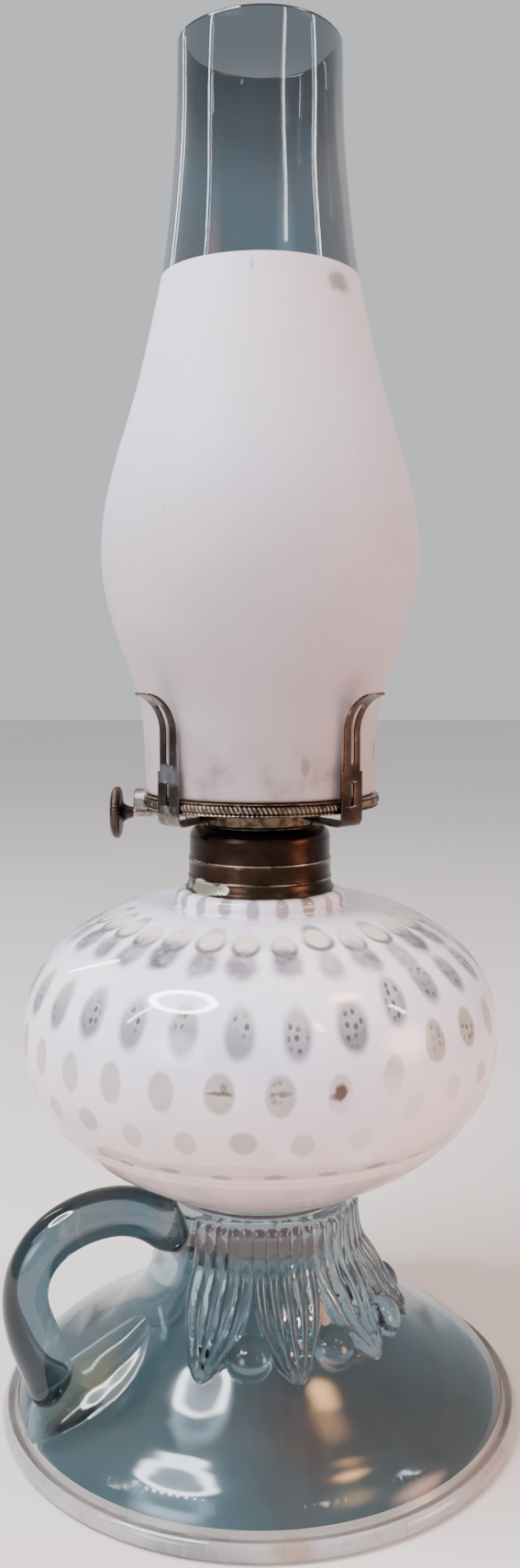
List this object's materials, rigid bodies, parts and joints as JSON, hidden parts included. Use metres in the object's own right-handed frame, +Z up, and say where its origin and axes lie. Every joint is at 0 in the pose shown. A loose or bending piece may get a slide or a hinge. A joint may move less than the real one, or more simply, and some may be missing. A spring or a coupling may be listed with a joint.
{
  "type": "oil lamp",
  "caption": "Footed kerosene finger lamp: clear glass foot with applied handle, opalescent spotted font, brass flat-wick burner, sprung prongs and a half-frosted chimney.",
  "frame": {"origin": "centre of the foot's resting ring, on the surface the lamp stands on", "axes": "+Z up along the lamp's axis; -X towards the thumbwheel and roughly towards the handle, which is turned 23 degrees from -X towards -Y"},
  "size_m": [0.1478, 0.1478, 0.374],
  "materials": {
    "clear_glass": "clear, slightly grey-green, fire-polished",
    "opal_glass": "milky opalescent white with clearer oval spots, glossy",
    "frosted_glass": "acid-frosted, satin",
    "plaster": "dry plaster of Paris",
    "aged_brass": "dark brown patina, worn bright on edges",
    "bare_brass": "dull unpolished brass",
    "spring_brass": "tarnished spring brass, grey and brown",
    "cotton": "flat woven cotton",
    "steel": "dull steel"
  },
  "bodies": {
    "lamp_base": {"foot": "clear_glass", "joining_wafer": "clear_glass", "finger_handle": "clear_glass", "oil_font": "opal_glass", "collar_plaster": "plaster", "collar": "aged_brass"},
    "burner": {"thread_plug": "bare_brass", "burner_bowl": "aged_brass", "gallery": "aged_brass", "shaft_bush": "bare_brass", "shaft_bracket": "bare_brass", "air_deck": "bare_brass", "flame_deflector": "bare_brass", "wick_tube": "bare_brass", "prong_rivets": "aged_brass"},
    "wick": {"wick": "cotton"},
    "wick_knob": {"wick_shaft": "steel", "spur_wheels": "steel", "thumbwheel": "aged_brass"},
    "chimney": {"chimney": "frosted_glass", "chimney_mouth": "clear_glass"},
    "prong_front_left": {"prong_front_left": "spring_brass"},
    "prong_front_right": {"prong_front_right": "spring_brass"},
    "prong_rear_left": {"prong_rear_left": "spring_brass"},
    "prong_rear_right": {"prong_rear_right": "spring_brass"}
  },
  "joints": [
    {"name": "burner_lift", "type": "slide", "parent": "lamp_base", "child": "burner", "axis": [0, 0, 1], "range_m": [0, 0.08]},
    {"name": "chimney_lift", "type": "slide", "parent": "burner", "child": "chimney", "axis": [0, 0, 1], "range_m": [0, 0.08]},
    {"name": "knob_turn", "type": "hinge", "parent": "burner", "child": "wick_knob", "pos_m": [0, -0.0056, 0.1709], "axis": [1, 0, 0], "range_deg": [-118, 203]},
    {"name": "wick_raise", "type": "slide", "parent": "burner", "child": "wick", "axis": [0, 0, 1], "range_m": [-0.008, 0.0139]},
    {"name": "prong_front_right_flex", "type": "hinge", "parent": "burner", "child": "prong_front_right", "pos_m": [0.01513, -0.01513, 0.1702], "axis": [0.7071, 0.7071, 0], "range_deg": [0, 7], "stiffness_Nm_per_rad": 0.25, "springref_deg": -4.58},
    {"name": "prong_rear_right_flex", "type": "hinge", "parent": "burner", "child": "prong_rear_right", "pos_m": [0.01513, 0.01513, 0.1702], "axis": [-0.7071, 0.7071, 0], "range_deg": [0, 7], "stiffness_Nm_per_rad": 0.25, "springref_deg": -4.58},
    {"name": "prong_rear_left_flex", "type": "hinge", "parent": "burner", "child": "prong_rear_left", "pos_m": [-0.01513, 0.01513, 0.1702], "axis": [-0.7071, -0.7071, 0], "range_deg": [0, 7], "stiffness_Nm_per_rad": 0.25, "springref_deg": -4.58},
    {"name": "prong_front_left_flex", "type": "hinge", "parent": "burner", "child": "prong_front_left", "pos_m": [-0.01513, -0.01513, 0.1702], "axis": [0.7071, -0.7071, 0], "range_deg": [0, 7], "stiffness_Nm_per_rad": 0.25, "springref_deg": -4.58}
  ],
  "couplings": [
    {"joint": "knob_turn", "follows": "wick_raise", "rad_per_m": 250}
  ]
}
